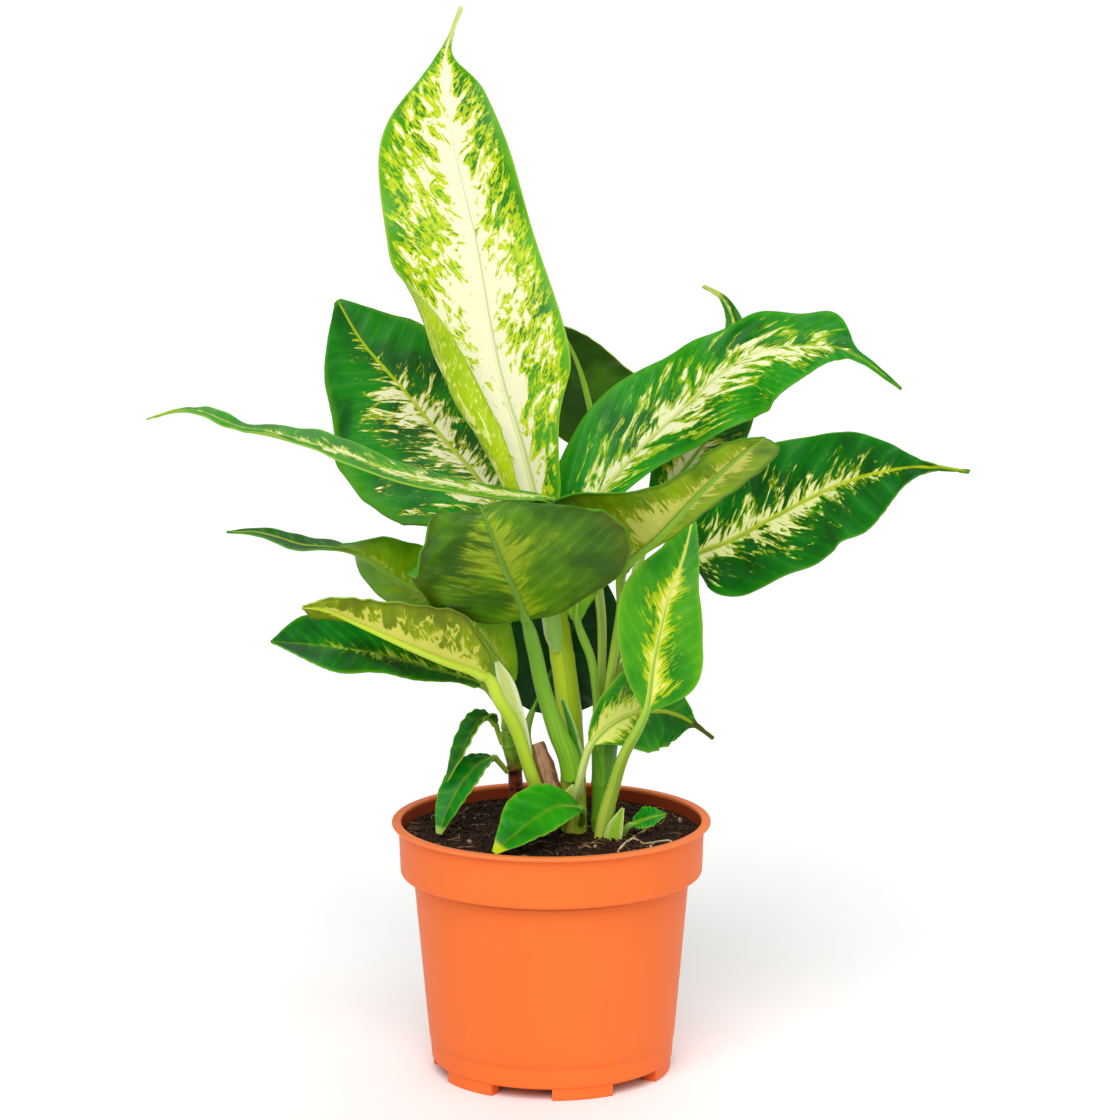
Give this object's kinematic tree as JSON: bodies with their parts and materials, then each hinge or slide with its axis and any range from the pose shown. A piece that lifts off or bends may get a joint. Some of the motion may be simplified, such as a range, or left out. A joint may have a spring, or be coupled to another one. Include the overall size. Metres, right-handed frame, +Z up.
{
  "type": "potted dieffenbachia",
  "caption": "Potted dieffenbachia: broad green leaves splashed with cream on upright stalks and canes, rooted in dark soil in a tapered orange plastic nursery pot with a thin flat lip.",
  "frame": {"origin": "under the middle of the pot, on the surface that it stands on", "axes": "+Z up the plant, +X to the right and -Y towards the viewer in the picture's view"},
  "size_m": [0.2978, 0.1746, 0.3972],
  "materials": {
    "pot_plastic": "satin",
    "potting_soil": "matte",
    "green_cane": "satin",
    "brown_cane": "satin",
    "dried_sheath": "matte",
    "cream_leaf": "satin",
    "dark_leaf": "satin",
    "olive_leaf": "satin",
    "bright_leaf": "satin"
  },
  "bodies": {
    "root": {"pot": "pot_plastic", "soil": "potting_soil", "cane_main": "green_cane", "cane_right": "green_cane", "cane_left": "brown_cane", "dried_sheath": "dried_sheath", "leaf_top": "cream_leaf", "leaf_long_left": "cream_leaf", "leaf_back_left": "dark_leaf", "leaf_low_left_dark": "dark_leaf", "leaf_upper_right": "dark_leaf", "leaf_right": "dark_leaf", "leaf_back_right": "dark_leaf", "leaf_inner_left": "dark_leaf", "leaf_front": "olive_leaf", "leaf_low_left": "olive_leaf", "leaf_right_under": "olive_leaf", "leaf_back": "olive_leaf", "leaf_mid_left": "bright_leaf", "leaf_droop_upper": "bright_leaf", "leaf_droop_lower": "bright_leaf", "leaf_front_low": "bright_leaf", "leaf_small_right": "bright_leaf", "leaf_front_right": "bright_leaf", "leaf_low_right": "bright_leaf", "leaf_inner_right": "bright_leaf"}
  },
  "joints": []
}
